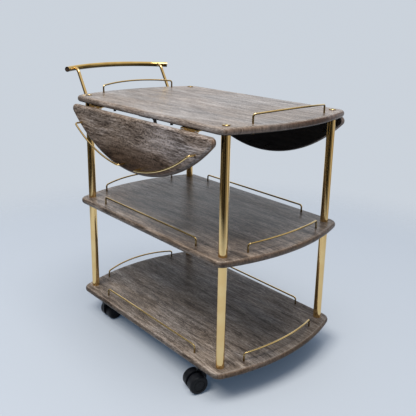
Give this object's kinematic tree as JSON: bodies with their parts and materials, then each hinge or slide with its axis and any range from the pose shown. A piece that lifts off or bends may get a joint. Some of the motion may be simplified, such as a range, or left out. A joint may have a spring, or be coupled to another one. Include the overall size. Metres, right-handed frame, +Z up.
{
  "type": "drop leaf tea trolley",
  "caption": "Tiered tea trolley with hinged drop leaves on folding stays, tubular brass posts, wire gallery rails, a bowed push handle and swivel casters.",
  "frame": {"origin": "on the floor, under the middle of the boards", "axes": "+Z up, +X along the boards away from the push handle, +Y across the boards; the front leaf hangs on the -Y side"},
  "size_m": [0.841, 0.5362, 0.7765],
  "materials": {
    "wood_shelf": "satin printed grain",
    "wood_leaf": "satin printed grain",
    "brass_tube": "polished",
    "brass_wire": "polished",
    "brass_fitting": "polished",
    "steel_fastener": "plated",
    "black_metal": "satin",
    "black_plug": "matte",
    "black_rubber": "matte",
    "caster_metal": "plated",
    "caster_plastic": "semi gloss",
    "caster_wheel": "semi gloss"
  },
  "bodies": {
    "frame": {"top_shelf": "wood_shelf", "middle_shelf": "wood_shelf", "bottom_shelf": "wood_shelf", "lower_post_front_left": "brass_tube", "lower_post_front_right": "brass_tube", "lower_post_rear_left": "brass_tube", "lower_post_rear_right": "brass_tube", "upper_post_front_left": "brass_tube", "upper_post_front_right": "brass_tube", "upper_post_rear_left": "brass_tube", "upper_post_rear_right": "brass_tube", "post_tie_rods": "steel_fastener", "post_plugs": "black_plug", "post_screw_caps": "brass_fitting", "post_foot_nuts": "steel_fastener", "top_left_rail": "brass_wire", "top_right_rail": "brass_wire", "middle_left_rail": "brass_wire", "middle_right_rail": "brass_wire", "middle_front_rail": "brass_wire", "middle_rear_rail": "brass_wire", "bottom_left_rail": "brass_wire", "bottom_right_rail": "brass_wire", "bottom_front_rail": "brass_wire", "bottom_rear_rail": "brass_wire", "shelf_rail_nuts": "steel_fastener", "handle_bar": "brass_tube", "handle_arm_front": "brass_tube", "handle_arm_rear": "brass_tube", "handle_end_plugs": "black_plug", "hinge_top_plates": "brass_fitting", "hinge_pins": "brass_fitting", "top_underside_screws": "steel_fastener", "stay_top_brackets": "black_metal", "leaf_bumpers": "black_rubber", "caster_stems": "caster_metal"},
    "front_leaf_body": {"front_leaf": "wood_leaf", "front_leaf_rails": "brass_wire", "front_leaf_rail_nuts": "steel_fastener", "front_hinge_leaf_plates": "brass_fitting", "front_leaf_screws": "steel_fastener", "front_stay_leaf_bracket": "black_metal"},
    "front_stay_upper_body": {"front_stay_upper_arm": "black_metal"},
    "front_stay_lower_body": {"front_stay_lower_arm": "black_metal"},
    "rear_leaf_body": {"rear_leaf": "wood_leaf", "rear_leaf_rails": "brass_wire", "rear_leaf_rail_nuts": "steel_fastener", "rear_hinge_leaf_plates": "brass_fitting", "rear_leaf_screws": "steel_fastener", "rear_stay_leaf_bracket": "black_metal"},
    "rear_stay_upper_body": {"rear_stay_upper_arm": "black_metal"},
    "rear_stay_lower_body": {"rear_stay_lower_arm": "black_metal"},
    "caster_swivel_front_left": {"caster_body_front_left": "caster_plastic"},
    "caster_rollers_front_left": {"caster_wheels_front_left": "caster_wheel"},
    "caster_swivel_front_right": {"caster_body_front_right": "caster_plastic"},
    "caster_rollers_front_right": {"caster_wheels_front_right": "caster_wheel"},
    "caster_swivel_rear_left": {"caster_body_rear_left": "caster_plastic"},
    "caster_rollers_rear_left": {"caster_wheels_rear_left": "caster_wheel"},
    "caster_swivel_rear_right": {"caster_body_rear_right": "caster_plastic"},
    "caster_rollers_rear_right": {"caster_wheels_rear_right": "caster_wheel"}
  },
  "joints": [
    {"name": "front_leaf_hinge", "type": "hinge", "parent": "frame", "child": "front_leaf_body", "pos_m": [0, -0.224, 0.6799], "axis": [-1, 0, 0], "range_deg": [0, 90]},
    {"name": "front_stay_top_pivot", "type": "hinge", "parent": "frame", "child": "front_stay_upper_body", "pos_m": [0, -0.174, 0.671], "axis": [-1, 0, 0], "range_deg": [0, 90]},
    {"name": "front_stay_elbow", "type": "hinge", "parent": "front_stay_upper_body", "child": "front_stay_lower_body", "pos_m": [0, -0.1651, 0.621], "axis": [-1, 0, 0], "range_deg": [-90, 0]},
    {"name": "rear_leaf_hinge", "type": "hinge", "parent": "frame", "child": "rear_leaf_body", "pos_m": [0, 0.224, 0.6799], "axis": [1, 0, 0], "range_deg": [0, 90]},
    {"name": "rear_stay_top_pivot", "type": "hinge", "parent": "frame", "child": "rear_stay_upper_body", "pos_m": [0, 0.174, 0.671], "axis": [1, 0, 0], "range_deg": [0, 90]},
    {"name": "rear_stay_elbow", "type": "hinge", "parent": "rear_stay_upper_body", "child": "rear_stay_lower_body", "pos_m": [0, 0.1651, 0.621], "axis": [1, 0, 0], "range_deg": [-90, 0]},
    {"name": "caster_turn_front_left", "type": "hinge", "parent": "frame", "child": "caster_swivel_front_left", "pos_m": [-0.232, -0.196, 0.0635], "axis": [0, 0, 1], "continuous": true},
    {"name": "caster_roll_front_left", "type": "hinge", "parent": "caster_swivel_front_left", "child": "caster_rollers_front_left", "pos_m": [-0.232, -0.176, 0.025], "axis": [-1, 0, 0], "continuous": true},
    {"name": "caster_turn_front_right", "type": "hinge", "parent": "frame", "child": "caster_swivel_front_right", "pos_m": [0.232, -0.196, 0.0635], "axis": [0, 0, 1], "continuous": true},
    {"name": "caster_roll_front_right", "type": "hinge", "parent": "caster_swivel_front_right", "child": "caster_rollers_front_right", "pos_m": [0.22682, -0.21532, 0.025], "axis": [0.9659, -0.2588, 0], "continuous": true},
    {"name": "caster_turn_rear_left", "type": "hinge", "parent": "frame", "child": "caster_swivel_rear_left", "pos_m": [-0.232, 0.196, 0.0635], "axis": [0, 0, 1], "continuous": true},
    {"name": "caster_roll_rear_left", "type": "hinge", "parent": "caster_swivel_rear_left", "child": "caster_rollers_rear_left", "pos_m": [-0.22516, 0.21479, 0.025], "axis": [-0.9397, 0.342, 0], "continuous": true},
    {"name": "caster_turn_rear_right", "type": "hinge", "parent": "frame", "child": "caster_swivel_rear_right", "pos_m": [0.232, 0.196, 0.0635], "axis": [0, 0, 1], "continuous": true},
    {"name": "caster_roll_rear_right", "type": "hinge", "parent": "caster_swivel_rear_right", "child": "caster_rollers_rear_right", "pos_m": [0.24045, 0.17787, 0.025], "axis": [0.9063, 0.4226, 0], "continuous": true}
  ],
  "couplings": [
    {"joint": "front_stay_top_pivot", "follows": "front_leaf_hinge", "ratio": 1},
    {"joint": "front_stay_elbow", "follows": "front_leaf_hinge", "ratio": -1},
    {"joint": "rear_stay_top_pivot", "follows": "rear_leaf_hinge", "ratio": 1},
    {"joint": "rear_stay_elbow", "follows": "rear_leaf_hinge", "ratio": -1}
  ]
}
